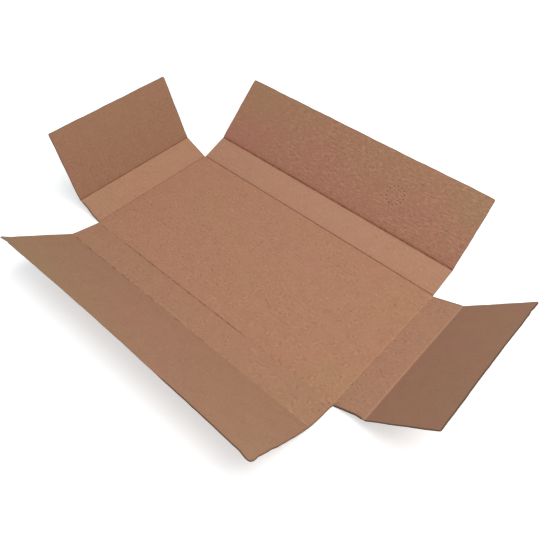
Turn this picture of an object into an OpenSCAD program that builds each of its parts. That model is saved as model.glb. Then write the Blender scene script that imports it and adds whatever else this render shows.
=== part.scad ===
// One-piece folder box of corrugated board, laid open with its inside up.
// Origin: centre of the underside of the base. X runs along the flutes, Z is up.

/* [Blank] */
// Length of the base between its end creases
base_length = 390; // [300:1:480]
// Width of the base between its side creases
base_width = 192.5; // [150:0.5:240]
// Height of the four walls between their two creases
wall_height = 39.5; // [25:0.5:60]
// Depth of the left and right flaps from crease to cut edge
end_flap_depth = 92; // [60:0.5:110]
// Depth of the front and back flaps from crease to cut edge
side_flap_depth = 95.5; // [60:0.5:110]
// Gap between each end of a wall and the corner of the base
corner_gap = 1.3; // [0.5:0.1:3]
// Angle by which the sides of the flaps draw in
side_taper = 1.2; // [0.5:0.1:2]
// Radius of the cut corners of the flaps
corner_radius = 2.5; // [1:0.5:6]
// Radius of the one blunted corner, front right
blunt_radius = 6; // [2:0.5:10]

/* [Board] */
// Thickness of the board
board_t = 2.5; // [2:0.1:4]
// Thickness of each outer liner
liner_t = 0.3; // [0.2:0.05:0.4]
// Thickness of the wavy sheet between the liners
medium_t = 0.25; // [0.15:0.05:0.35]
// Distance from one flute to the next
flute_pitch = 6.4; // [5:0.1:8]
// How far the flutes stand open at a cut edge
mouth_depth = 6; // [3:0.5:10]
// Depth of the open channel along an edge that is cut along a flute
channel_depth = 1.2; // [0.6:0.1:2]
// Board that is crushed flat on each side of a crease
crush_width = 4; // [3:0.5:8]
// Width of the score along a fixed crease
score_width = 1.2; // [0.8:0.1:2]
// Clearance in the crease that a flap turns on
crease_gap = 0.3; // [0.2:0.05:0.5]

/* [Folds] */
// Rise of the left wall above the base, in degrees
left_wall_angle = 24; // [5:0.5:40]
// Rise of the right wall
right_wall_angle = 21; // [5:0.5:40]
// Rise of the front wall
front_wall_angle = 10.5; // [5:0.5:40]
// Rise of the back wall
back_wall_angle = 20; // [5:0.5:40]
// Bend of the left flap against its wall
left_bend_angle = 44; // [15:0.5:60]
// Bend of the right flap against its wall
right_bend_angle = 24; // [15:0.5:60]
// Bend of the front flap against its wall
front_bend_angle = 24; // [15:0.5:60]
// Bend of the back flap against its wall
back_bend_angle = 23.5; // [15:0.5:60]

/* [Hidden] */
$fn = 48;
kraft = "#ad8064";

// Half the board, which is also the radius of a fold about the middle of the board
fold_r = board_t / 2;
// Reach of the wavy sheet's middle above and below the middle of the board
wave_reach = fold_r - liner_t - medium_t / 2;
// Half of the hollow between the liners
hollow = fold_r - liner_t;
// Share of a flute's pitch, to each side of its middle, over which it is open
mouth_share = 0.4;
// Straight stretches that follow the wave across one flute
wave_steps = 4;
// Overlap that lets a cut pass clear through a face
over = 1;

// Each side: turn about Z, half the base along it, half its crease, rise of its wall, bend and depth of its flap
end_half = base_width / 2;
side_half = base_length / 2;
left = [90, side_half, end_half, left_wall_angle, left_bend_angle, end_flap_depth];
right = [-90, side_half, end_half, right_wall_angle, right_bend_angle, end_flap_depth];
front = [180, end_half, side_half, front_wall_angle, front_bend_angle, side_flap_depth];
back = [0, end_half, side_half, back_wall_angle, back_bend_angle, side_flap_depth];

// Half the width of a wall, which is also that of its flap at their crease
function wall_half(side) = side[2] - corner_gap;

// Half the width of a flap at a distance from its crease
function flap_half(side, distance) = wall_half(side) - distance * tan(side_taper);

// Points of a folded profile from its outer fold to its inner fold, round the end of the wall.
// The outer face is mitred at the fold, and the wall ends on the crease of its flap.
function wall_points(side) =
    let (a = side[3], m = fold_r * tan(a / 2), along = [cos(a), sin(a)], out = [sin(a), -cos(a)])
        [for (p = [[m, -fold_r], wall_height * along + fold_r * out, wall_height * along - fold_r * out, [-m, fold_r]])
            p + [side[1], 0]];

// The same points for the wall on the other end of the profile, in the order that closes the outline
function mirrored_points(points) = [for (i = [len(points) - 1 : -1 : 0]) [-points[i][0], points[i][1]]];

// Centre, along the crease, of a corner arc that touches the outer edge and the drawn-in side
function corner_x(edge_half, r) = edge_half - r * (1 - sin(side_taper)) / cos(side_taper);

// Outline of the hollow on the upper side of one flute, with the wave as its floor
function mouth_outline() = [
    for (i = [0 : wave_steps])
        let (s = mouth_share * flute_pitch * (2 * i / wave_steps - 1))
            [s, medium_t / 2 - wave_reach * cos(360 * s / flute_pitch)],
    [mouth_share * flute_pitch, hollow],
    [-mouth_share * flute_pitch, hollow]
];

// Middles of the flutes that fit between two places across the board
function flute_rows(from, to) =
    let (count = floor((to - from) / flute_pitch))
        [for (i = [0 : count - 1]) (from + to) / 2 + (i - (count - 1) / 2) * flute_pitch];

// Puts what lies along X with its panel on +Y onto a wall, with its crease on the base at y = 0
module on_wall(side) {
    translate([0, 0, fold_r])
        rotate([0, 0, side[0]])
            translate([0, side[1], 0])
                rotate([side[3], 0, 0])
                    children();
}

// Puts a flap on the outer crease of its wall
module on_flap_crease(side) {
    on_wall(side)
        translate([0, wall_height, 0])
            rotate([side[4], 0, 0])
                children();
}

// A round bar along a crease
module crease_bar(length, r) {
    rotate([0, 90, 0])
        cylinder(h = length, r = r, center = true);
}

// The two hollows of one flute, half a pitch apart, opening at y = 0 and running back along -Y
module flute_mouth() {
    rotate([90, 0, 0])
        translate([0, 0, -over]) {
            linear_extrude(mouth_depth + over)
                translate([-flute_pitch / 4, 0])
                    polygon(mouth_outline());
            linear_extrude(mouth_depth + over)
                translate([flute_pitch / 4, 0])
                    mirror([0, 1])
                        polygon(mouth_outline());
        }
}

// Mouths in both straight ends of a wall whose flutes run along its crease
module wall_mouths(side) {
    for (y = flute_rows(crush_width, wall_height - crush_width), end = [-1, 1])
        translate([end * wall_half(side), y, 0])
            rotate([0, 0, -90 * end])
                flute_mouth();
}

// Mouths in both drawn-in ends of a flap whose flutes run along its crease
module end_mouths(side, reach) {
    for (y = flute_rows(crush_width, reach), end = [-1, 1])
        translate([end * flap_half(side, y), y, 0])
            rotate([0, 0, -90 * end])
                flute_mouth();
}

// Mouths in the outer edge of a flap whose flutes run away from its crease
module edge_mouths(depth, reach) {
    for (x = flute_rows(-reach, reach))
        translate([x, depth, 0])
            flute_mouth();
}

// Channel between the liners along a cut edge that lies on X, cut back along -Y
module edge_channel(length) {
    translate([-length / 2, -channel_depth, -hollow])
        cube([length, channel_depth + over, 2 * hollow]);
}

// Channels along both sides of a panel that is cut along its flutes, between its crushed ends
module side_channels(side, depth, taper) {
    for (end = [-1, 1])
        translate([end * wall_half(side), 0, 0])
            rotate([0, 0, end * taper])
                translate([0, depth / 2, 0])
                    rotate([0, 0, -90 * end])
                        edge_channel(depth - 2 * crush_width);
}

// Outline of a flap with its two cut corners
module flap_outline(side, left_r, right_r) {
    depth = side[5];
    near = wall_half(side);
    left_x = -corner_x(flap_half(side, depth), left_r);
    right_x = corner_x(flap_half(side, depth), right_r);
    polygon([
        [-near, 0],
        [near, 0],
        [right_x + right_r * cos(side_taper), depth - right_r + right_r * sin(side_taper)],
        [right_x, depth],
        [left_x, depth],
        [left_x - left_r * cos(side_taper), depth - left_r + left_r * sin(side_taper)]
    ]);
    translate([left_x, depth - left_r])
        circle(left_r);
    translate([right_x, depth - right_r])
        circle(right_r);
}

// Cuts in the profile of one wall: the score on its inner fold, and the seat of its flap's round root,
// which leaves a square shoulder on the inside and a hollow lip on the outside
module wall_cuts(side) {
    seat = fold_r + crease_gap;
    translate([side[1], 0]) {
        translate([-fold_r * tan(side[3] / 2), fold_r])
            circle(score_width / 2);
        rotate(side[3])
            translate([wall_height, 0]) {
                circle(seat);
                translate([-seat, 0])
                    square([seat + over, fold_r + over]);
            }
    }
}

// Folded profile of the board: one wall, the base and the opposite wall
module folded_profile(near_side, far_side) {
    difference() {
        polygon(concat(wall_points(far_side), mirrored_points(wall_points(near_side))));
        wall_cuts(far_side);
        mirror([1, 0])
            wall_cuts(near_side);
    }
}

// A flap: flat board with a round root on its crease
module flap(side, left_r, right_r) {
    depth = side[5];
    corner = max(left_r, right_r, 2 * channel_depth);
    color(kraft)
        on_flap_crease(side)
            difference() {
                union() {
                    translate([0, 0, -fold_r])
                        linear_extrude(board_t)
                            flap_outline(side, left_r, right_r);
                    crease_bar(2 * wall_half(side), fold_r);
                }
                if (side[2] == side_half) {
                    end_mouths(side, depth - corner);
                    translate([0, depth, 0])
                        edge_channel(2 * side[2]);
                } else {
                    edge_mouths(depth, flap_half(side, depth) - corner);
                    side_channels(side, depth, side_taper);
                }
            }
}

// The base with its four walls, folded from one sheet
module base_and_walls() {
    color(kraft)
        difference() {
            translate([0, 0, fold_r]) {
                rotate([90, 0, 90])
                    linear_extrude(2 * wall_half(front), center = true)
                        folded_profile(front, back);
                rotate([90, 0, 0])
                    linear_extrude(2 * wall_half(left), center = true)
                        folded_profile(left, right);
            }
            for (side = [front, back])
                on_wall(side)
                    wall_mouths(side);
            for (side = [left, right])
                on_wall(side)
                    side_channels(side, wall_height, 0);
        }
}

module left_flap() {
    flap(left, corner_radius, corner_radius);
}

module right_flap() {
    flap(right, corner_radius, corner_radius);
}

module front_flap() {
    flap(front, blunt_radius, corner_radius);
}

module back_flap() {
    flap(back, corner_radius, corner_radius);
}

base_and_walls();
left_flap();
right_flap();
front_flap();
back_flap();
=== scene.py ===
"""Flattened cardboard box: a one-piece folder of brown corrugated board, laid open with its inside up.

Each piece of board is three sheets, two liners and the wavy medium between them. They are ruled flat on
the blank, pressed at the creases, worn at the edges and then folded up, as the real sheet was.
Sizes are in millimetres on the blank, with x along the flutes; Blender works in metres.
"""
import bpy
import math
import numpy as np
from functools import partial
from mathutils import Matrix, Vector


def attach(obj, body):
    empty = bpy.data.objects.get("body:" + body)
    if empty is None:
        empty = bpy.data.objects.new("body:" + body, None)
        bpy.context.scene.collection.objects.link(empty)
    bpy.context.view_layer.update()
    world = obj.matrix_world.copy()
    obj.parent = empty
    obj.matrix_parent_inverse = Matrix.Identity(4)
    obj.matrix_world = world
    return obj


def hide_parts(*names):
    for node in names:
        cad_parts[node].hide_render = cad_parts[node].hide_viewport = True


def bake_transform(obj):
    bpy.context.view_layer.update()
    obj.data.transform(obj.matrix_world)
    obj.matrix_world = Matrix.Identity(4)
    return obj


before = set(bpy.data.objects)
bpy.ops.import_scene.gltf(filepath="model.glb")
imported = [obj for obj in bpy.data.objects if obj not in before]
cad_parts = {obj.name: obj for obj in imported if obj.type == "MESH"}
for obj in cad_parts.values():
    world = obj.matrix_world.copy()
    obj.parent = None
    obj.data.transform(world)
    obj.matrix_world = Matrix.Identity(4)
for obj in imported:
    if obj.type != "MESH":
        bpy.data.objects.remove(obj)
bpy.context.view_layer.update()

MM = 0.001

# Board and blank, as in the part's source
BASE_LENGTH = 390.0
BASE_WIDTH = 192.5
WALL_HEIGHT = 39.5
CORNER_GAP = 1.3
SIDE_TAPER = math.radians(1.2)
CORNER_RADIUS = 2.5
BLUNT_RADIUS = 6.0
BOARD_T = 2.5
LINER_T = 0.3
FLUTE_PITCH = 6.4
SIDES = ("left", "right", "front", "back")
FLAP_DEPTH = {"left": 92.0, "right": 92.0, "front": 95.5, "back": 95.5}
WALL_RISE = {"left": 24.0, "right": 21.0, "front": 10.5, "back": 20.0}
FLAP_BEND = {"left": 44.0, "right": 24.0, "front": 24.0, "back": 23.5}
TURN = {"back": 0.0, "left": 90.0, "front": 180.0, "right": -90.0}

# How far a flap's piece of board reaches over its crease onto the wall
LAP = 5.0
# Half the stretch of board that bends at a crease
BEND_HALF = 1.0
# Ruled lines to each side of a crease, where the board is pressed and bent
CREASE_LINES = (-4.0, -2.6, -1.7, -1.0, -0.5, 0.0, 0.5, 1.0, 1.7, 2.6, 4.0)
# Ruled lines in from a cut edge, where the die has crushed the board
EDGE_LINES = (0.5, 1.2, 2.2, 3.5)
# Distance between ruled lines elsewhere, near worn places and around the pin-pricks
RULE = 7.0
WORN_RULE = 2.0
PIN_RULE = 0.55
# Least distance between two ruled lines, and the slack within which a point counts as on a line
LEAST_RULE = 0.2
SLACK = 0.01
# Ruled lines across one flute
FLUTE_STEPS = 6
# Height of a liner's middle above the middle of the board
LINER_Z = (BOARD_T - LINER_T) / 2
# Least height that is left to the waves of the medium
LEAST_WAVE = 0.05
# Depth of a crease where its mark is strongest
PRESS_DEPTH = 0.7
# Half width of a crease's pressed line and its distance beyond the crease, and the broad one at the back flap
CREASE_LINE = (0.85, 0.0)
BACK_FLAP_LINE = (1.3, 1.4)
# The pale bead beside a crease, rubbed fibres with painted highlight: its distance before it, half width and
# height
BEAD_BEFORE = 1.4
BEAD_WIDTH = 0.8
BEAD_HEIGHT = 0.2
# Distances over which the shading of a crease fades out, beyond it and before it
SHADE_BEYOND = 9.0
SHADE_BEFORE = 2.0
# Half width of the dark line along a cut edge, and along the worn ends of front flap and end walls: cut
# fibres with painted shade of the board's open edge
CUT_LINE = 0.45
FRONT_END_LINE = 0.8
END_WALL_LINE = 1.0
# Straight cuts that round off a corner of each radius
CORNER_CUTS = {CORNER_RADIUS: 2, BLUNT_RADIUS: 5}
# Edges that bend more than this stay sharp
SHARP = math.radians(40)
# A ring of pin-pricks on the back flap: its centre on the blank, its radius and the number of pins
RING_X = 84.0
RING_Y = BASE_WIDTH / 2 + WALL_HEIGHT + 46.0
RING_RADIUS = 12.0
PINS = 14
# Reach of the fine lines around the ring's centre
RING_REACH = 14.5
# One pin-prick: its radius, its depth in the upper liner and in the lower, and its raised rim
PIN_RADIUS = 0.85
PIN_DEPTH = 0.9
PIN_DEPTH_BELOW = 0.3
RIM_RADIUS = 1.7
RIM_WIDTH = 0.45
# Dents and strains in the cut edges: place on the blank, push in x and y, and reach
NICKS = (
    (178.0, -231.2, 0.0, 1.3, 6.0),
    (191.8, -218.0, -0.7, 0.0, 4.0),
    (192.3, -199.0, -0.5, 0.0, 5.0),
    (-182.0, -231.2, 0.0, 1.0, 3.0),
    (84.0, -231.2, 0.0, 0.4, 3.5),
    (114.0, -231.2, 0.0, 0.5, 3.5),
    (326.5, 77.5, -1.2, 0.0, 3.0),
    (-190.0, -231.0, -2.2, -1.8, 6.0),
    (221.0, -95.0, 0.0, 0.9, 7.0),
    (204.0, -95.0, 0.0, -0.3, 4.0),
    (-224.0, -95.0, 0.0, 0.9, 9.0),
    (-207.0, -95.0, 0.0, -0.6, 4.0),
    (194.0, -116.0, 1.2, -0.3, 16.0),
    (193.0, -165.0, 0.8, 0.0, 30.0),
    (193.0, -185.0, 0.8, 0.0, 45.0),
    (-193.0, -165.0, -0.9, 0.0, 55.0),
    (-192.0, 225.0, -1.5, 0.0, 38.0),
    (195.0, -97.0, 0.8, -1.2, 7.0),
    (-300.0, 0.0, 0.0, 0.8, 90.0),
    (-193.0, 175.0, -0.6, 0.0, 45.0),
    (193.0, 190.0, 0.6, 0.0, 45.0),
)
# How far the outer cut edges of the flaps stand out past their nominal depth
EDGE_OUT = {"left": 1.2, "right": 0.8, "front": 0.0, "back": 0.7}
# Brown painted shade at the inner and the outer creases, darkening of flaps and walls that is partly soil and
# partly painted shade, and painted light on the walls
INNER_SHADE = 0.03
SHADED = {"left": 0.05, "right": 0.0, "front": 0.05, "back": 0.06}
FLAP_SOIL_AND_SHADE = {"left": 0.15, "right": 0.28, "front": 0.21, "back": 0.08}
WALL_SOIL_AND_SHADE = {"left": 0.03, "right": 0.1, "front": 0.1, "back": 0.0}
WALL_PAINTED_LIGHT = {"left": 0.65, "right": 0.3, "front": 0.0, "back": 0.9}
# How much coarser the grain of flaps and walls is than that of the base: smoother below 0
FLAP_COARSE = {"left": -0.2, "right": -0.5, "front": -0.4, "back": -0.5}
WALL_COARSE = {"left": -0.1, "right": 0.4, "front": 0.0, "back": 0.0}
# Olive patches, and russet ones below 0: place on the blank, reach and amount
PATCHES = (
    (172.0, -74.0, 22.0, 0.55),
    (150.0, -150.0, 30.0, 0.15),
    (-135.0, -212.0, 65.0, 0.5),
    (180.0, 205.0, 42.0, 0.8),
    (-160.0, 205.0, 40.0, 0.35),
    (214.0, -25.0, 55.0, -0.2),
    (60.0, 30.0, 45.0, -0.35),
    (-172.0, -40.0, 22.0, -0.12),
    (-285.0, -15.0, 42.0, 0.35),
    (-314.0, 40.0, 36.0, 0.3),
    (-314.0, -45.0, 34.0, 0.3),
    (20.0, -178.0, 34.0, -0.2),
    (184.0, -214.0, 26.0, 0.35),
    (-215.0, -65.0, 25.0, 0.35),
)
# Name of the map that holds each point's place on the flat blank
BLANK_MAP = "blank"


def along_x(side):
    """True where the flutes run along the crease of that side."""
    return side in ("front", "back")


def crease_half(side):
    """Half the length of the creases of that side."""
    return (BASE_LENGTH if along_x(side) else BASE_WIDTH) / 2 - CORNER_GAP


def base_half(side):
    """Distance from the middle of the base to that side's crease."""
    return (BASE_WIDTH if along_x(side) else BASE_LENGTH) / 2


def outward(side):
    """1 where a side lies towards plus on the blank, and -1 where it lies towards minus."""
    return 1 if side in ("right", "back") else -1


def turned(side, x, y):
    """Points turned from a side's own frame, whose crease runs along x, to the blank's."""
    angle = math.radians(TURN[side])
    return x * math.cos(angle) - y * math.sin(angle), x * math.sin(angle) + y * math.cos(angle)


def to_blank(side, co):
    """Places on the blank of points that are given from a side's crease on the base, or on the blank."""
    if side is None:
        return co[:, 0].copy(), co[:, 1].copy()
    return turned(side, co[:, 0], co[:, 1] + base_half(side))


def place_along(side, co):
    """Places on the blank along a side's crease: x for front and back, y for left and right."""
    x, y = to_blank(side, co)
    return x if along_x(side) else y


def smooth_step(a, b, t):
    """0 at a, 1 at b, smooth between."""
    s = np.clip((t - a) / (b - a), 0, 1)
    return s * s * (3 - 2 * s)


def ripple(t, *waves):
    """A sum of sine waves, each a length in millimetres, an amount and a phase in turns."""
    return sum(amount * np.sin(2 * math.pi * (t / length + phase)) for length, amount, phase in waves)


def dark_mark(side, outer, along):
    """Strength of a crease's dark mark at places along it on the blank: the depth of its pressed groove, and
    its dark colour, partly crushed fibres and partly painted shade.
    """
    broken = 0.5 + 0.5 * np.clip(ripple(along, (23, 0.8, 0.1), (9.1, 0.7, 0.4), (4.3, 0.5, 0.2)), -1, 1)
    dashes = smooth_step(0.4, 0.8, broken)
    if side == "back":
        return 0.8 * (0.85 + 0.15 * broken)
    if side == "left":
        return (0.85 if outer else 0.4) * (0.7 + 0.3 * broken)
    if side == "front" and outer:
        return 0.06 + dashes * (0.55 * smooth_step(100, 20, along) + 0.15 * smooth_step(-70, -130, along))
    if side == "front":
        pressed = smooth_step(78, 60, along) * (0.6 * dashes + 0.7 * smooth_step(-145, -115, along))
        return 0.04 + 0.6 * pressed * (0.7 + 0.3 * broken)
    return (0.16 if outer else 0.1) * (0.5 + broken)


def light_mark(side, outer, along):
    """Strength of the pale bead beside a crease: rubbed fibres with painted highlight."""
    broken = 0.5 + 0.5 * np.clip(ripple(along, (17, 0.7, 0.3), (7.3, 0.7, 0.1)), -1, 1)
    if side == "right":
        return (0.75 if outer else 0.4) * (0.6 + 0.4 * broken)
    if side == "front" and outer:
        return 0.5 * broken ** 2 + 0.35 * broken * smooth_step(-40, 80, along)
    return 0 * along


def crease_marks(side, outer, distance, along):
    """Marks of one crease, and the look of the panels beside it, at points a distance beyond it."""
    half_width, offset = BACK_FLAP_LINE if side == "back" and outer else CREASE_LINE
    flattened = np.exp(-((distance - offset) / half_width) ** 2)
    dark = dark_mark(side, outer, along) * flattened
    light = light_mark(side, outer, along) * np.exp(-((distance + BEAD_BEFORE) / BEAD_WIDTH) ** 2)
    # Brown painted shade beside the crease, fading out beyond it and before it
    fade = np.where(distance > 0, SHADE_BEYOND, SHADE_BEFORE)
    shade = (SHADED[side] if outer else INNER_SHADE) * np.exp(-np.abs(distance) / fade)
    on_flap = smooth_step(0, 3, distance) if outer else 0 * distance
    on_wall = smooth_step(2, -1, distance) if outer else smooth_step(-1, 2, distance)
    # Flaps and walls darkened and greyed panel by panel: partly soil, partly painted shade of how the light
    # falls on each
    soiled = FLAP_SOIL_AND_SHADE[side] * on_flap + WALL_SOIL_AND_SHADE[side] * on_wall
    smoothed = on_flap
    if outer and side == "left":
        smoothed = smooth_step(10, 80, distance)
    if outer and side == "back":
        smoothed = on_flap * smooth_step(-60, -180, along)
    coarse = FLAP_COARSE[side] * smoothed + WALL_COARSE[side] * on_wall
    return {
        "pressed": dark,
        "flattened": flattened,
        # The crease's dark colour, crushed fibres with painted shade, and the painted shade beside it
        "scored": dark + shade,
        "rubbed": light,
        "coarse": coarse,
        "soiled": soiled,
        # Walls lightened panel by panel: painted light, where the light falls more on them
        "faded": WALL_PAINTED_LIGHT[side] * on_wall,
    }


def edge_dark(side, along):
    """How dark a side's cut edges are, from cut fibres and painted shade of the board's open edge: the
    front's darkest at its right end, the left's at its front end.
    """
    if side == "front":
        return 0.1 + 0.8 * smooth_step(60, 90, along)
    if side == "left":
        return 0.4 + 0.7 * smooth_step(-50, -90, along)
    return (1.3 if side == "right" else 0.6) + 0 * along


def crushed(side, along):
    """Share of the thickness that is left at a flap's very edge, where the lower liner is pressed up."""
    if side == "front":
        return 0.15 + 0.35 * smooth_step(72, 88, along)
    return 0.5 + 0 * along


def olive_at(x, y):
    """How olive the paper is at places on the blank: russet below 0."""
    beyond_base = y - BASE_WIDTH / 2
    beyond_wall = beyond_base - WALL_HEIGHT
    # Back wall and flap: russet at the creases, olive towards the cut edge
    olive = -0.25 * smooth_step(0, 3, beyond_base)
    olive = olive - 0.3 * smooth_step(0, 3, beyond_wall) * smooth_step(75, 8, beyond_wall)
    olive = olive + 0.3 * smooth_step(45, 90, beyond_wall)
    # An olive strip along the cut edge of the front flap
    olive = olive + 0.4 * smooth_step(-195, -222, y) * smooth_step(90, 20, x)
    for at_x, at_y, reach, amount in PATCHES:
        olive = olive + amount * np.exp(-((x - at_x) ** 2 + (y - at_y) ** 2) / reach ** 2)
    return olive


def flap_wear(side, co):
    """What a flap has suffered, at points given from the crease on the base."""
    far = WALL_HEIGHT + FLAP_DEPTH[side]
    along = place_along(side, co)
    wear = crease_marks(side, True, co[:, 1] - WALL_HEIGHT, along)
    from_end = crease_half(side) - np.abs(co[:, 0])
    from_edge = far - co[:, 1]
    inset = np.minimum(from_end, from_edge)
    # Dark cut edge: cut fibres with painted shade of the board's open edge
    wear["cut"] = edge_dark(side, along) * np.exp(-(inset / CUT_LINE) ** 2)
    if side == "front":
        wear["cut"] = np.maximum(wear["cut"], 0.8 * np.exp(-(from_end / FRONT_END_LINE) ** 2))
    left_over = crushed(side, along)
    wear["thick"] = left_over + (1 - left_over) * smooth_step(0, EDGE_LINES[-1], inset)
    wear["dent"] = 0 * along
    if side == "back":
        x, y = to_blank(side, co)
        for pin in range(PINS):
            angle = 2 * math.pi * pin / PINS
            from_x = x - RING_X - RING_RADIUS * math.cos(angle)
            from_y = y - RING_Y - RING_RADIUS * math.sin(angle)
            away = np.hypot(from_x, from_y)
            # Pin-pricks: holes darkened in the colour by painted shade, with pale raised rims of rubbed
            # fibres and painted highlight
            wear["dent"] += np.exp(-(away / PIN_RADIUS) ** 2)
            wear["rubbed"] += 0.5 * np.exp(-((away - RIM_RADIUS) / RIM_WIDTH) ** 2)
    return wear


def base_wear(co):
    """What the base and the walls have suffered, at points on the blank."""
    marks = ("pressed", "flattened", "scored", "rubbed", "coarse", "soiled", "faded", "cut", "dent")
    wear = {name: 0 * co[:, 0] for name in marks}
    wear["thick"] = 1 + 0 * co[:, 0]
    for side in SIDES:
        across, along = (1, 0) if along_x(side) else (0, 1)
        beyond = co[:, across] * outward(side) - base_half(side)
        for name, amount in crease_marks(side, False, beyond, co[:, along]).items():
            wear[name] += amount
        inset = crease_half(side) - np.abs(co[:, along])
        on_wall = smooth_step(0, 3, beyond)
        line, crush = (CUT_LINE, 0.5) if along_x(side) else (END_WALL_LINE, 0.1)
        # Dark ends of the walls: cut fibres with painted shade of the board's open edge
        wear["cut"] += on_wall * edge_dark(side, co[:, along]) * np.exp(-(inset / line) ** 2)
        wear["thick"] -= on_wall * crush * (1 - smooth_step(0, EDGE_LINES[-1], inset))
    return wear


def ruled(start, stop, creases=(), cuts=(), fine=(), step=RULE):
    """Places of ruled lines from start to stop: close at creases, cut edges and in fine stretches."""
    fixed = {c + d for c in creases for d in CREASE_LINES}
    fixed |= {c + d * (1 if c == start else -1) for c in cuts for d in EDGE_LINES}
    for a, b, fine_step in fine:
        fixed |= set(np.linspace(a, b, round((b - a) / fine_step) + 1))
    inside = sorted(f for f in fixed if start + LEAST_RULE < f < stop - LEAST_RULE)
    places = [start]
    for place in inside:
        if place - places[-1] > LEAST_RULE:
            places.append(place)
    places.append(stop)
    lines = []
    for a, b in zip(places, places[1:]):
        count = max(1, round((b - a) / step))
        lines += [a + (b - a) * i / count for i in range(count)]
    return np.array(lines + [stop])


def points_of(obj):
    """The points of a mesh in millimetres, one row each."""
    co = np.empty(len(obj.data.vertices) * 3)
    obj.data.vertices.foreach_get("co", co)
    return co.reshape(-1, 3) / MM


def set_points(obj, co):
    """Writes points in millimetres back to a mesh."""
    obj.data.vertices.foreach_set("co", (co * MM).ravel())
    obj.data.update()


def sheet_of_lines(name, xs, ys, side=None):
    """A flat sheet with its lines at the given places. Its map keeps each point's place on the blank."""
    bpy.ops.object.select_all(action="DESELECT")
    bpy.ops.mesh.primitive_grid_add(x_subdivisions=len(xs) - 1, y_subdivisions=len(ys) - 1, size=1)
    sheet = bpy.context.object
    sheet.name = name
    x, y = np.meshgrid(xs, ys)
    co = np.stack([x.ravel(), y.ravel(), 0 * x.ravel()], axis=1)
    set_points(sheet, co)
    place = np.stack(to_blank(side, co), axis=1)
    corner = np.empty(len(sheet.data.loops), np.int32)
    sheet.data.loops.foreach_get("vertex_index", corner)
    layer = sheet.data.uv_layers[0]
    layer.name = BLANK_MAP
    layer.data.foreach_set("uv", (place[corner] * MM).astype(np.float32).ravel())
    return sheet


def mark(obj, **amounts):
    """Keeps numbers for each point, which the materials read by name."""
    for name, values in amounts.items():
        layer = obj.data.attributes.new(name, "FLOAT", "POINT")
        layer.data.foreach_set("value", np.asarray(values, np.float32))


def choose(obj):
    """Selects one object alone."""
    bpy.ops.object.select_all(action="DESELECT")
    obj.select_set(True)
    bpy.context.view_layer.objects.active = obj


def join(name, parts):
    """Joins objects into the first one."""
    choose(parts[0])
    for part in parts:
        part.select_set(True)
    bpy.ops.object.join()
    parts[0].name = name
    parts[0].data.name = name
    return parts[0]


def everything(obj):
    """A choice of all points."""
    return np.ones(len(obj.data.vertices), bool)


def edit(obj, chosen):
    """Goes into edit mode with only the chosen points selected."""
    choose(obj)
    mesh = obj.data
    mesh.edges.foreach_set("select", np.zeros(len(mesh.edges), bool))
    mesh.polygons.foreach_set("select", np.zeros(len(mesh.polygons), bool))
    mesh.vertices.foreach_set("select", chosen)
    bpy.ops.object.mode_set(mode="EDIT")
    bpy.ops.mesh.select_mode(type="VERT")


def done():
    """Back to object mode."""
    bpy.ops.object.mode_set(mode="OBJECT")


def move(obj, x, y, z):
    """Moves all points by millimetres."""
    edit(obj, everything(obj))
    bpy.ops.transform.translate(value=(x * MM, y * MM, z * MM))
    done()


def turn(obj, chosen, angle, axis, centre=(0, 0, 0)):
    """Turns the chosen points by degrees, by the right-hand rule, about an axis through centre."""
    edit(obj, chosen)
    bpy.ops.transform.rotate(
        value=-math.radians(angle),
        orient_axis=axis,
        orient_type="GLOBAL",
        center_override=[c * MM for c in centre],
    )
    done()


def fold(obj, crease, angle, axis="X", sign=1):
    """Bends the board up along a crease, a few degrees at each ruled line that the bend takes in."""
    bends = [d for d in CREASE_LINES if abs(d) < BEND_HALF + SLACK]
    across = 1 if axis == "X" else 0
    lift = sign if axis == "X" else -sign
    for d in sorted(bends, reverse=True):
        beyond = points_of(obj)[:, across] * sign > crease + d + SLACK
        centre = [0.0, 0.0, 0.0]
        centre[across] = sign * (crease + d)
        turn(obj, beyond, lift * angle / len(bends), axis, centre)


def cut_corner(obj, x, y, radius):
    """Rounds one outer corner of a flat flap, whose sides meet at x, y, with a few straight cuts."""
    cuts = CORNER_CUTS[radius]
    end = math.copysign(1, x)
    centre = np.array([x - end * radius, y - radius])
    for i in range(cuts):
        angle = math.pi / 2 * (i + 0.5) / cuts
        out = np.array([end * math.cos(angle), math.sin(angle)])
        edit(obj, everything(obj))
        bpy.ops.mesh.select_all(action="SELECT")
        at = (centre + out * radius) * MM
        bpy.ops.mesh.bisect(plane_co=(*at, 0), plane_no=(*out, 0), clear_outer=True)
        done()


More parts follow.
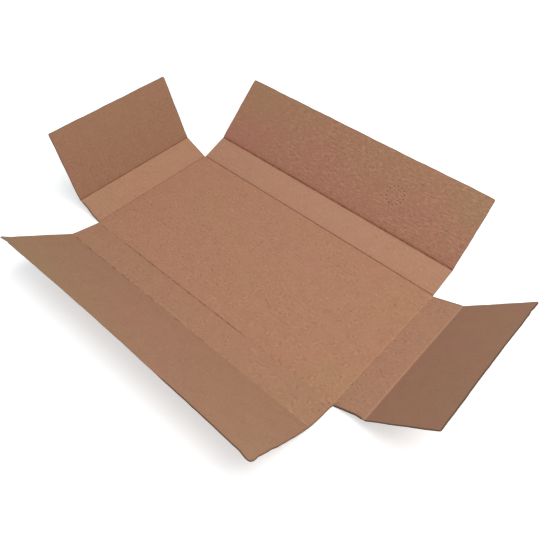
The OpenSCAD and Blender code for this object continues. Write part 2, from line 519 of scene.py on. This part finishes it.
def board(name, xs, ys, wave_xs, wave_ys, wear_at, waves_on_y, side=None):
    """Three sheets joined: two liners as far apart as the board is thick, and the medium waving between."""
    top = sheet_of_lines("top", xs, ys, side)
    bottom = sheet_of_lines("bottom", xs, ys, side)
    flutes = sheet_of_lines("flutes", wave_xs, wave_ys, side)
    co = points_of(top)
    wear = wear_at(co)
    pressed = PRESS_DEPTH * wear["pressed"]
    co[:, 2] = LINER_Z - pressed + BEAD_HEIGHT * wear["rubbed"] - PIN_DEPTH * wear["dent"]
    set_points(top, co)
    # Dark creases and pin-pricks carry painted shade besides crushed fibres; pale beads carry painted
    # highlight besides rubbed fibres
    mark(top, scored=wear["scored"] + 1.2 * wear["dent"], rubbed=wear["rubbed"], cut=wear["cut"])
    olive = olive_at(*to_blank(side, co))
    # The darkening of the panels is partly soil and partly painted shade; the lightening of the walls is
    # painted light
    mark(top, soiled=wear["soiled"], faded=wear["faded"], coarse=wear["coarse"], olive=olive)
    co[:, 2] = LINER_Z * (1 - 2 * wear["thick"]) - PIN_DEPTH_BELOW * wear["dent"]
    set_points(bottom, co)
    mark(bottom, scored=0.2 * wear["pressed"], rubbed=0.5 * wear["pressed"], cut=wear["cut"])
    co = points_of(flutes)
    wear = wear_at(co)
    pressed = PRESS_DEPTH * np.minimum(wear["flattened"], 1)
    room = np.clip(LINER_Z - LINER_T - pressed / 2, LEAST_WAVE, None) * wear["thick"]
    phase = 2 * math.pi * co[:, 1 if waves_on_y else 0] / FLUTE_PITCH
    co[:, 2] = room * np.cos(phase) - pressed / 2 + LINER_Z * (1 - wear["thick"])
    set_points(flutes, co)
    mark(flutes, cut=wear["cut"])
    for sheet, paper in ((top, LINER), (bottom, LINER), (flutes, MEDIUM)):
        sheet.data.materials.append(paper)
    return join(name, [top, bottom, flutes])


def dent_edges(co, side=None):
    """Pushes the points near each nick. Points are on the blank, or in a side's own frame."""
    x, y = to_blank(side, co)
    angle = math.radians(TURN.get(side, 0.0))
    for at_x, at_y, push_x, push_y, reach in NICKS:
        amount = np.exp(-((x - at_x) ** 2 + (y - at_y) ** 2) / reach ** 2)
        co[:, 0] += amount * (push_x * math.cos(angle) + push_y * math.sin(angle))
        co[:, 1] += amount * (push_y * math.cos(angle) - push_x * math.sin(angle))


def flap_reach(side, co):
    """Share of a flap's depth at points given from the crease on the base: 1 at its outer cut edge."""
    return np.clip((co[:, 1] - WALL_HEIGHT) / FLAP_DEPTH[side], 0, 1)


def warp(side, co):
    """Height by which a flap bows out of flat, at points given from the crease on the base."""
    reach = flap_reach(side, co)
    along = place_along(side, co)
    span = along / crease_half(side)
    if side == "front":
        bow = 3.4 * reach ** 1.5 * np.cos(span * math.pi / 2)
        return bow - 1.8 * smooth_step(0.84, 1.0, span) * smooth_step(0.75, 1.0, reach)
    if side == "right":
        return 1.2 * reach ** 1.5 + 0.4 * reach * np.cos(span * math.pi)
    if side == "back":
        return reach * ripple(along, (310, 0.6, 0.2), (170, 0.3, 0.6)) - 0.6 * reach ** 2
    return 0.5 * reach * np.cos(span * math.pi / 2)


def fray(side, co):
    """Wander of a flap's cut edges in the plane: the ends along x and the outer edge along y."""
    at_edge = smooth_step(0.85, 1.0, flap_reach(side, co))
    at_end = smooth_step(0.9, 1.0, np.abs(co[:, 0]) / crease_half(side))
    wander_x = at_end * ripple(co[:, 1], (37, 0.16, 0.2), (15, 0.08, 0.5))
    along = place_along(side, co)
    wander_y = EDGE_OUT[side] + ripple(along, (53, 0.16, 0.3), (21, 0.1, 0.7), (12, 0.05, 0.1))
    if side == "front":
        wander_y += 1.4 * smooth_step(96, 80, along) - 0.8 * smooth_step(110, 160, along)
    if side == "back":
        wander_y += 0.8 * smooth_step(60, 150, along)
    return wander_x, at_edge * wander_y


def flap_piece(side):
    """One flap with the strip of wall that its crease bends from. The crease of the base lies at y = 0."""
    half = crease_half(side)
    depth = FLAP_DEPTH[side]
    near = WALL_HEIGHT - LAP
    far = WALL_HEIGHT + depth
    ring_y = RING_Y - base_half("back")
    # Close lines at the dented edges and corners, and around the pin-pricks
    fine_x = {
        "front": ((-half, -half + 30, WORN_RULE), (0, half, WORN_RULE)),
        "right": ((-90, -74, WORN_RULE),),
        "back": ((RING_X - RING_REACH, RING_X + RING_REACH, PIN_RULE),),
    }.get(side, ())
    fine_y = {
        "front": ((far - 40, far, WORN_RULE),),
        "back": ((ring_y - RING_REACH, ring_y + RING_REACH, PIN_RULE),),
    }.get(side, ())
    xs = ruled(-half, half, cuts=(-half, half), fine=fine_x)
    ys = ruled(near, far, creases=(WALL_HEIGHT,), cuts=(far,), fine=fine_y)
    wave_xs = ruled(-half, half, cuts=(-half, half))
    wave_ys = ruled(near, far, creases=(WALL_HEIGHT,), cuts=(far,))
    if along_x(side):
        wave_ys = ruled(near, far, step=FLUTE_PITCH / FLUTE_STEPS)
    else:
        wave_xs = ruled(-half, half, step=FLUTE_PITCH / FLUTE_STEPS)
    name = side + "_flap_board"
    piece = board(name, xs, ys, wave_xs, wave_ys, partial(flap_wear, side), along_x(side), side)
    co = points_of(piece)
    co[:, 2] += warp(side, co)
    draw_in = np.clip(co[:, 1] - WALL_HEIGHT, 0, None) * math.tan(SIDE_TAPER)
    co[:, 0] *= (half - draw_in) / half
    set_points(piece, co)
    corner = half - depth * math.tan(SIDE_TAPER)
    cut_corner(piece, -corner, far, BLUNT_RADIUS if side == "front" else CORNER_RADIUS)
    cut_corner(piece, corner, far, CORNER_RADIUS)
    co = points_of(piece)
    wander_x, wander_y = fray(side, co)
    co[:, 0] += wander_x
    co[:, 1] += wander_y
    dent_edges(co, side)
    set_points(piece, co)
    fold(piece, WALL_HEIGHT, FLAP_BEND[side])
    turn(piece, everything(piece), WALL_RISE[side], "X")
    move(piece, 0, base_half(side), BOARD_T / 2)
    turn(piece, everything(piece), TURN[side], "Z")
    return paper_thick(piece)


def base_piece():
    """The base and the four walls up to the flaps' pieces: one cross of board, then folded."""
    x_crease = BASE_LENGTH / 2
    y_crease = BASE_WIDTH / 2
    x_end = x_crease + WALL_HEIGHT - LAP
    y_end = y_crease + WALL_HEIGHT - LAP
    x_half = crease_half("front")
    y_half = crease_half("left")
    x_cuts = (-x_half, x_half)
    y_cuts = (-y_half, y_half)
    # Close lines at the dented ends of the walls, and along the broken mark of the front crease
    worn = ((198, 228, WORN_RULE), (-230, -202, WORN_RULE))
    dashed = ((-190, 80, WORN_RULE),)
    across_x = partial(ruled, -x_end, x_end, creases=(-x_crease, x_crease))
    xs = np.union1d(across_x(fine=worn + dashed), x_cuts)
    wave_xs = np.union1d(across_x(fine=worn), x_cuts)
    ys = np.union1d(ruled(-y_end, y_end, creases=(-y_crease, y_crease)), y_cuts)
    wave_ys = np.union1d(ruled(-y_end, y_end, step=FLUTE_PITCH / FLUTE_STEPS), y_cuts)
    piece = board("base_and_walls_board", xs, ys, wave_xs, wave_ys, base_wear, True)
    co = points_of(piece)
    edit(piece, (np.abs(co[:, 0]) > x_half + SLACK) & (np.abs(co[:, 1]) > y_half + SLACK))
    bpy.ops.mesh.delete(type="VERT")
    done()
    co = points_of(piece)
    dent_edges(co)
    set_points(piece, co)
    for side in SIDES:
        fold(piece, base_half(side), WALL_RISE[side], "X" if along_x(side) else "Y", outward(side))
    move(piece, 0, 0, BOARD_T / 2)
    return paper_thick(piece)


def paper_thick(piece):
    """Gives every sheet of a piece the thickness of paper, and smooth faces between sharp edges."""
    choose(piece)
    paper = piece.modifiers.new("paper", "SOLIDIFY")
    paper.thickness = LINER_T * MM
    paper.offset = 0
    bpy.ops.object.modifier_apply(modifier="paper")
    bpy.ops.object.shade_smooth_by_angle(angle=SHARP)
    return piece


def srgb(hex_colour):
    """A hex colour as linear red, green, blue and alpha."""
    channels = [int(hex_colour[i:i + 2], 16) / 255 for i in (1, 3, 5)]
    linear = [c / 12.92 if c <= 0.04045 else ((c + 0.055) / 1.055) ** 2.4 for c in channels]
    return (*linear, 1.0)


def per_metre(size_mm):
    """Scale of a pattern whose features are about that size."""
    return 1 / (size_mm * MM)


def new_material(name):
    """A material with its node tree and its shader."""
    material = bpy.data.materials.new(name)
    material.use_nodes = True
    return material, material.node_tree, material.node_tree.nodes["Principled BSDF"]


def node(tree, kind, settings, inputs):
    """Adds a node with its settings and links, and gives its outputs."""
    added = tree.nodes.new(kind)
    for name, value in settings.items():
        setattr(added, name, value)
    for name, value in inputs.items():
        if isinstance(value, bpy.types.NodeSocket):
            tree.links.new(value, added.inputs[name])
        else:
            added.inputs[name].default_value = value
    return added.outputs


def kraft_liner():
    """Kraft liner: unbleached brown paper of long fibres, matt, mottled and specked.

    To the eye it is an even tan that shifts between olive and russet, with fine light and dark fibres,
    and the flutes show faintly through it. Grain is drawn coarser than real fibres, so that it shows at
    this scale.
    """
    material, tree, shader = new_material("kraft_liner_paper")
    add = partial(node, tree)
    flat = {"noise_dimensions": "2D"}
    times = {"operation": "MULTIPLY"}
    times_plus = {"operation": "MULTIPLY_ADD"}
    smooth = {"interpolation_type": "SMOOTHSTEP"}
    mixed = {"data_type": "RGBA"}
    place = add("ShaderNodeUVMap", {"uv_map": BLANK_MAP}, {})["UV"]
    axes = add("ShaderNodeSeparateXYZ", {}, {"Vector": place})

    # Olive and russet patches, broader than a hand
    patch = add("ShaderNodeTexNoise", flat, {"Vector": place, "Scale": per_metre(110), "Detail": 2.0})["Fac"]
    patch = {"Value": patch, "From Min": 0.35, "From Max": 0.65, "To Min": 0.47, "To Max": 0.63}
    patch = add("ShaderNodeMapRange", smooth, patch)["Result"]
    olive = add("ShaderNodeAttribute", {"attribute_name": "olive"}, {})["Fac"]
    patch = add("ShaderNodeMath", times_plus, {0: olive, 1: -0.5, 2: patch})[0]
    colour = add("ShaderNodeMix", mixed, {0: patch, 6: srgb("#ab8762"), 7: srgb("#b87e69")})[2]

    # Grain: fibres, their tufts, and the cloudy look-through of the sheet, each as much lighter as darker
    fine_depth = 0.18
    tuft_depth = 0.2
    cloud_depth = 0.14
    fine = add("ShaderNodeTexNoise", flat, {"Vector": place, "Scale": per_metre(1.9), "Detail": 1.0})["Fac"]
    tuft = {"Vector": place, "Scale": per_metre(4.2), "Detail": 2.0, "Distortion": 0.8}
    tuft = add("ShaderNodeTexNoise", flat, tuft)["Fac"]
    cloud = add("ShaderNodeTexNoise", flat, {"Vector": place, "Scale": per_metre(16), "Detail": 3.0})["Fac"]
    # It is fainter towards the front right corner, and differs from panel to panel
    corner = add("ShaderNodeMath", {"operation": "SUBTRACT"}, {0: axes["X"], 1: axes["Y"]})[0]
    worn = {"Value": corner, "From Min": -0.05, "From Max": 0.2, "To Min": 0.8, "To Max": 0.62}
    depth = add("ShaderNodeMapRange", smooth, worn)["Result"]
    coarse = add("ShaderNodeAttribute", {"attribute_name": "coarse"}, {})["Fac"]
    panel = add("ShaderNodeMath", {"operation": "ADD"}, {0: coarse, 1: 1.0})[0]
    depth = add("ShaderNodeMath", times, {0: depth, 1: panel})[0]
    grain = add("ShaderNodeMath", times_plus, {0: fine, 1: fine_depth, 2: -(fine_depth + tuft_depth) / 2})[0]
    grain = add("ShaderNodeMath", times_plus, {0: tuft, 1: tuft_depth, 2: grain})[0]
    value = add("ShaderNodeMath", times_plus, {0: grain, 1: depth, 2: 1 - cloud_depth / 2})[0]
    value = add("ShaderNodeMath", times_plus, {0: cloud, 1: cloud_depth, 2: value})[0]

    # Streaks along the flutes, strongest on the back flap
    drawn = add("ShaderNodeMapping", {}, {"Vector": place, "Scale": (0.25, 1.0, 1.0)})["Vector"]
    streak = add("ShaderNodeTexNoise", flat, {"Vector": drawn, "Scale": per_metre(2.0), "Detail": 1.0})["Fac"]
    on_back = {"Value": axes["Y"], "From Min": 0.128, "From Max": 0.142, "To Min": 0.06, "To Max": 0.5}
    streak_depth = add("ShaderNodeMapRange", smooth, on_back)["Result"]
    uneven = {"Value": cloud, "From Min": 0.35, "From Max": 0.65, "To Min": 0.4, "To Max": 1.5}
    uneven = add("ShaderNodeMapRange", smooth, uneven)["Result"]
    streak_depth = add("ShaderNodeMath", times, {0: streak_depth, 1: uneven})[0]
    streak_depth = add("ShaderNodeMath", times, {0: streak_depth, 1: panel})[0]
    centred = add("ShaderNodeMath", {"operation": "SUBTRACT"}, {0: streak, 1: 0.5})[0]
    value = add("ShaderNodeMath", times_plus, {0: centred, 1: streak_depth, 2: value})[0]

    # Washboard: the flutes under the paper, plainer in some places than in others
    phase = add("ShaderNodeMath", times, {0: axes["Y"], 1: 2 * math.pi / (FLUTE_PITCH * MM)})[0]
    wave = add("ShaderNodeMath", {"operation": "SINE"}, {0: phase})[0]
    plain = add("ShaderNodeTexNoise", flat, {"Vector": place, "Scale": per_metre(80), "Detail": 1.0})["Fac"]
    plain = add("ShaderNodeMapRange", smooth, {"Value": plain, "From Min": 0.4, "From Max": 0.65})["Result"]
    washboard = add("ShaderNodeMath", times, {0: wave, 1: plain})[0]
    washboard = add("ShaderNodeMath", times, {0: washboard, 1: panel})[0]
    value = add("ShaderNodeMath", times_plus, {0: washboard, 1: 0.022, 2: value})[0]

    # Short curled wrinkles, most where the base has been rubbed at its front right: a bump, with painted
    # highlight and painted shade on their two sides in the colour
    curl = {"Vector": place, "Scale": per_metre(14), "Detail": 0.0, "Distortion": 0.3}
    curl = add("ShaderNodeTexNoise", flat, curl)["Fac"]
    curl = add("ShaderNodeMath", times, {0: curl, 1: 26.0})[0]
    crest = add("ShaderNodeMath", {"operation": "SINE"}, {0: curl})[0]
    some = add("ShaderNodeTexNoise", flat, {"Vector": place, "Scale": per_metre(10), "Detail": 0.0})["Fac"]
    some = add("ShaderNodeMapRange", smooth, {"Value": some, "From Min": 0.54, "From Max": 0.72})["Result"]
    inner = {"Value": axes["X"], "From Min": 0.2, "From Max": 0.24, "To Min": 1.0, "To Max": 0.1}
    inner = add("ShaderNodeMapRange", smooth, inner)["Result"]
    some = add("ShaderNodeMath", times, {0: some, 1: inner})[0]
    rub = {"Value": corner, "From Min": 0.02, "From Max": 0.2, "To Min": 0.45}
    rub = add("ShaderNodeMapRange", smooth, rub)["Result"]
    wrinkle_shading = add("ShaderNodeMath", times, {0: crest, 1: some})[0]
    wrinkle_shading = add("ShaderNodeMath", times, {0: wrinkle_shading, 1: rub})[0]
    wrinkle_shading = add("ShaderNodeMath", times, {0: wrinkle_shading, 1: panel})[0]
    # Painted highlight and painted shade of the wrinkles, in the colour
    value = add("ShaderNodeMath", times_plus, {0: wrinkle_shading, 1: 0.1, 2: value})[0]
    colour = add("ShaderNodeHueSaturation", {}, {"Color": colour, "Value": value})["Color"]

    # Specks of bark and of pale fluff
    bark = add("ShaderNodeTexNoise", flat, {"Vector": place, "Scale": per_metre(2.7), "Detail": 0.0})["Fac"]
    bark = add("ShaderNodeMapRange", smooth, {"Value": bark, "From Min": 0.6, "From Max": 1.3})["Result"]
    bark = add("ShaderNodeMath", times, {0: bark, 1: depth})[0]
    colour = add("ShaderNodeMix", mixed, {0: bark, 6: colour, 7: srgb("#74503c")})[2]
    apart = add("ShaderNodeMapping", {}, {"Vector": place, "Location": (0.7, 0.3, 0.0)})["Vector"]
    fluff = add("ShaderNodeTexNoise", flat, {"Vector": apart, "Scale": per_metre(2.5), "Detail": 0.0})["Fac"]
    fluff = add("ShaderNodeMapRange", smooth, {"Value": fluff, "From Min": 0.6, "From Max": 1.3})["Result"]
    fluff = add("ShaderNodeMath", times, {0: fluff, 1: depth})[0]
    colour = add("ShaderNodeMix", mixed, {0: fluff, 6: colour, 7: srgb("#d2b295")})[2]

    # Sparse dark pits, in clusters
    pits = add("ShaderNodeTexNoise", flat, {"Vector": apart, "Scale": per_metre(3.2), "Detail": 0.0})["Fac"]
    pits = add("ShaderNodeMapRange", smooth, {"Value": pits, "From Min": 0.72, "From Max": 0.9})["Result"]
    group = {"Value": plain, "From Min": 0.4, "From Max": 0.6, "To Min": 0.05, "To Max": 0.36}
    group = add("ShaderNodeMapRange", smooth, group)["Result"]
    group = add("ShaderNodeMath", times, {0: group, 1: panel})[0]
    pits = add("ShaderNodeMath", times, {0: pits, 1: group})[0]
    colour = add("ShaderNodeMix", mixed, {0: pits, 6: colour, 7: srgb("#5f3f2f")})[2]

    # Wear and painted light: walls lightened by painted light, panels darkened by soil and painted shade,
    # pale beads of rubbed fibres and painted highlight, patchy dark creases and dark cut edges of crushed and
    # cut fibres with painted shade
    patchy = {"Value": tuft, "From Min": 0.3, "From Max": 0.7, "To Min": 0.6, "To Max": 1.2}
    patchy = add("ShaderNodeMapRange", {}, patchy)["Result"]
    worn_colours = (
        # painted light on the walls
        ("faded", 0.3, "#c99f83"),
        # soil and painted shade on the panels
        ("soiled", 1.0, "#7f6b60"),
        # rubbed fibres and painted highlight
        ("rubbed", 0.5, "#cfab8d"),
        # crushed fibres and painted shade in creases and pin-pricks
        ("scored", patchy, "#6b3822"),
        # cut fibres and painted shade of the open edges
        ("cut", 0.7, "#5c4838"),
    )
    for wear, strength, worn_colour in worn_colours:
        amount = add("ShaderNodeAttribute", {"attribute_name": wear}, {})["Fac"]
        amount = add("ShaderNodeMath", times, {0: amount, 1: strength})[0]
        colour = add("ShaderNodeMix", mixed, {0: amount, 6: colour, 7: srgb(worn_colour)})[2]
    tree.links.new(colour, shader.inputs["Base Color"])

    # Relief: the grain, the wrinkles, and the flutes under the paper
    relief = add("ShaderNodeBump", {}, {"Strength": 0.5, "Distance": 0.3 * MM, "Height": value})["Normal"]
    folds = {"Strength": 0.6, "Distance": 0.12 * MM, "Height": wrinkle_shading, "Normal": relief}
    relief = add("ShaderNodeBump", {}, folds)["Normal"]
    ribs = {"Strength": 0.4, "Distance": 0.06 * MM, "Height": washboard, "Normal": relief}
    relief = add("ShaderNodeBump", {}, ribs)["Normal"]
    tree.links.new(relief, shader.inputs["Normal"])
    shader.inputs["Roughness"].default_value = 0.88
    shader.inputs["Specular IOR Level"].default_value = 0.3
    return material


def fluting_medium():
    """Fluting medium: thin recycled paper, ribbed by rollers.

    To the eye it is duller and darker than the liners. Its clouds are drawn coarser than real fibres.
    """
    material, tree, shader = new_material("fluting_medium_paper")
    add = partial(node, tree)
    place = add("ShaderNodeUVMap", {"uv_map": BLANK_MAP}, {})["UV"]
    cloud = add("ShaderNodeTexNoise", {}, {"Vector": place, "Scale": per_metre(3), "Detail": 3.0})["Fac"]
    colours = {0: cloud, 6: srgb("#7c5f4b"), 7: srgb("#94735c")}
    colour = add("ShaderNodeMix", {"data_type": "RGBA"}, colours)[2]
    tree.links.new(colour, shader.inputs["Base Color"])
    relief = add("ShaderNodeBump", {}, {"Strength": 0.4, "Distance": 0.08 * MM, "Height": cloud})["Normal"]
    tree.links.new(relief, shader.inputs["Normal"])
    shader.inputs["Roughness"].default_value = 0.92
    shader.inputs["Specular IOR Level"].default_value = 0.25
    return material


LINER = kraft_liner()
MEDIUM = fluting_medium()

base = base_piece()
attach(base, "sheet")
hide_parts("base_and_walls")
for side in SIDES:
    flap = flap_piece(side)
    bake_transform(flap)
    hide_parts(side + "_flap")

# The camera of the photograph: its place, the way it faces and its lens on a sensor, both in millimetres
CAMERA_AT = Vector((331.41, -350.37, 527.09)) * MM
CAMERA_AZIMUTH = math.radians(41.491)
CAMERA_ELEVATION = math.radians(48.685)
CAMERA_ROLL = math.radians(1.012)
CAMERA_LENS = 38.198
CAMERA_SENSOR = 36.0
# The floor, a hair below the box, and the lamp, in metres and watts
FLOOR_SIZE = 12.0
FLOOR_DROP = 0.2 * MM
LAMP_AT = Vector((0.45, 0.05, 1.4))
LAMP_SIZE = 1.2
LAMP_POWER = 16.5


def photograph_camera():
    """A camera at the photograph's place, angle and lens."""
    data = bpy.data.cameras.new("camera")
    data.sensor_width = CAMERA_SENSOR
    data.lens = CAMERA_LENS
    camera = bpy.data.objects.new("camera", data)
    bpy.context.scene.collection.objects.link(camera)
    ahead = Vector((
        -math.sin(CAMERA_AZIMUTH) * math.cos(CAMERA_ELEVATION),
        math.cos(CAMERA_AZIMUTH) * math.cos(CAMERA_ELEVATION),
        -math.sin(CAMERA_ELEVATION),
    ))
    level = Vector((math.cos(CAMERA_AZIMUTH), math.sin(CAMERA_AZIMUTH), 0.0))
    up = level.cross(ahead)
    right = level * math.cos(CAMERA_ROLL) + up * math.sin(CAMERA_ROLL)
    up = right.cross(ahead)
    facing = Matrix((right, up, -ahead)).transposed().to_4x4()
    camera.matrix_world = Matrix.Translation(CAMERA_AT) @ facing
    bpy.context.scene.camera = camera


def seen_directly(tree):
    """1 for what the camera sees, straight or by reflection or through glass, and 0 for light on the box."""
    path = node(tree, "ShaderNodeLightPath", {}, {})
    plus = {"operation": "ADD", "use_clamp": True}
    seen = {0: path["Is Camera Ray"], 1: path["Is Glossy Ray"]}
    seen = node(tree, "ShaderNodeMath", plus, seen)[0]
    return node(tree, "ShaderNodeMath", plus, {0: seen, 1: path["Is Transmission Ray"]})[0]


def white_floor():
    """Matt white floor paint.

    To the eye it is plain white far off, and bright enough near the box that only the box's shadow shows.
    """
    material, tree, shader = new_material("white_floor_paint")
    shader.inputs["Base Color"].default_value = (0.9, 0.9, 0.9, 1)
    shader.inputs["Roughness"].default_value = 0.9
    shader.inputs["Emission Color"].default_value = srgb("#ffffff")
    place = node(tree, "ShaderNodeTexCoord", {}, {})["Object"]
    away = node(tree, "ShaderNodeVectorMath", {"operation": "LENGTH"}, {0: place})["Value"]
    far_off = {"Value": away, "From Min": 0.5, "From Max": 1.2, "To Min": 0.52, "To Max": 1.0}
    glow = node(tree, "ShaderNodeMapRange", {}, far_off)["Result"]
    glow = node(tree, "ShaderNodeMath", {"operation": "MULTIPLY"}, {0: glow, 1: seen_directly(tree)})[0]
    tree.links.new(glow, shader.inputs["Emission Strength"])
    return material


def studio():
    """White floor, pale surroundings and one broad soft lamp overhead."""
    bpy.ops.object.select_all(action="DESELECT")
    bpy.ops.mesh.primitive_plane_add(size=FLOOR_SIZE, location=(0, 0, -FLOOR_DROP))
    floor = bpy.context.object
    floor.name = "floor"
    floor.data.materials.append(white_floor())
    world = bpy.data.worlds.new("studio")
    bpy.context.scene.world = world
    world.use_nodes = True
    tree = world.node_tree
    sky = tree.nodes["Background"]
    seen = seen_directly(tree)
    colours = {0: seen, 6: (0.78, 0.92, 1.0, 1), 7: srgb("#ffffff")}
    tree.links.new(node(tree, "ShaderNodeMix", {"data_type": "RGBA"}, colours)[2], sky.inputs["Color"])
    strength = node(tree, "ShaderNodeMapRange", {}, {"Value": seen, "To Min": 0.32, "To Max": 1.0})["Result"]
    tree.links.new(strength, sky.inputs["Strength"])
    data = bpy.data.lights.new("overhead", "AREA")
    data.shape = "DISK"
    data.size = LAMP_SIZE
    data.energy = LAMP_POWER
    data.color = (1.0, 0.965, 0.91)
    lamp = bpy.data.objects.new("overhead", data)
    bpy.context.scene.collection.objects.link(lamp)
    lamp.location = LAMP_AT
    lamp.rotation_euler = (-LAMP_AT).to_track_quat("-Z", "Y").to_euler()


photograph_camera()
studio()
bpy.context.scene.view_settings.view_transform = "Standard"
